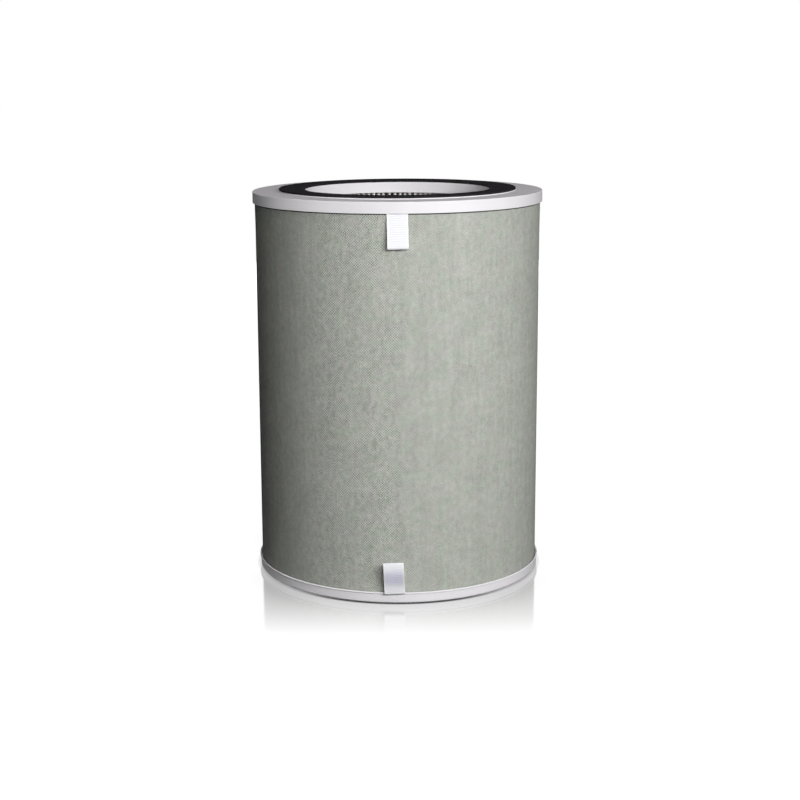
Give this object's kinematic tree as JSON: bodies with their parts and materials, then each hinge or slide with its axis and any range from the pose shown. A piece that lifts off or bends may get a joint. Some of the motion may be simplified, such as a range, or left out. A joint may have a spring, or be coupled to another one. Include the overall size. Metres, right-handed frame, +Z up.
{
  "type": "air filter cartridge",
  "caption": "Round pleated air filter cartridge: fabric-wrapped cylinder between two white end caps, foam-sealed bore at the top and a ribbon pull tab at each end.",
  "frame": {"origin": "centre of the base, on the floor", "axes": "+Z up along the cartridge's axis, out of the bore; the ribbon pull tabs are at the front, -Y"},
  "size_m": [0.275, 0.2802, 0.368],
  "materials": {
    "cap_plastic": "satin",
    "gasket_foam": "matte",
    "adhesive_tape": "satin",
    "hot_melt": "satin",
    "filter_media": "matte",
    "carbon_fleece": "matte",
    "wrap_fabric": "matte",
    "ribbon": "satin"
  },
  "bodies": {
    "cartridge": {"top_end_cap": "cap_plastic", "bottom_end_cap": "cap_plastic", "top_gasket": "gasket_foam", "gasket_tape": "adhesive_tape", "top_potting": "hot_melt", "bottom_potting": "hot_melt", "pleat_pack": "filter_media", "pleat_seam_bead": "hot_melt", "tip_bead_1": "hot_melt", "tip_bead_2": "hot_melt", "tip_bead_3": "hot_melt", "carbon_sleeve": "carbon_fleece", "sleeve_seam_bead": "hot_melt", "outer_wrap": "wrap_fabric", "top_tab_tail": "ribbon", "top_tab_glue": "hot_melt", "bottom_tab_tail": "ribbon", "bottom_tab_glue": "hot_melt"},
    "top_tab": {"top_pull_tab": "ribbon"},
    "bottom_tab": {"bottom_pull_tab": "ribbon"}
  },
  "joints": [
    {"name": "top_tab_flap", "type": "hinge", "parent": "cartridge", "child": "top_tab", "pos_m": [0, -0.1381, 0.3555], "axis": [-1, 0, 0], "range_deg": [0, 150]},
    {"name": "bottom_tab_flap", "type": "hinge", "parent": "cartridge", "child": "bottom_tab", "pos_m": [-0.003, -0.1381, 0.0108], "axis": [1, 0, 0], "range_deg": [-6, 90], "stiffness_Nm_per_rad": 0.001}
  ]
}
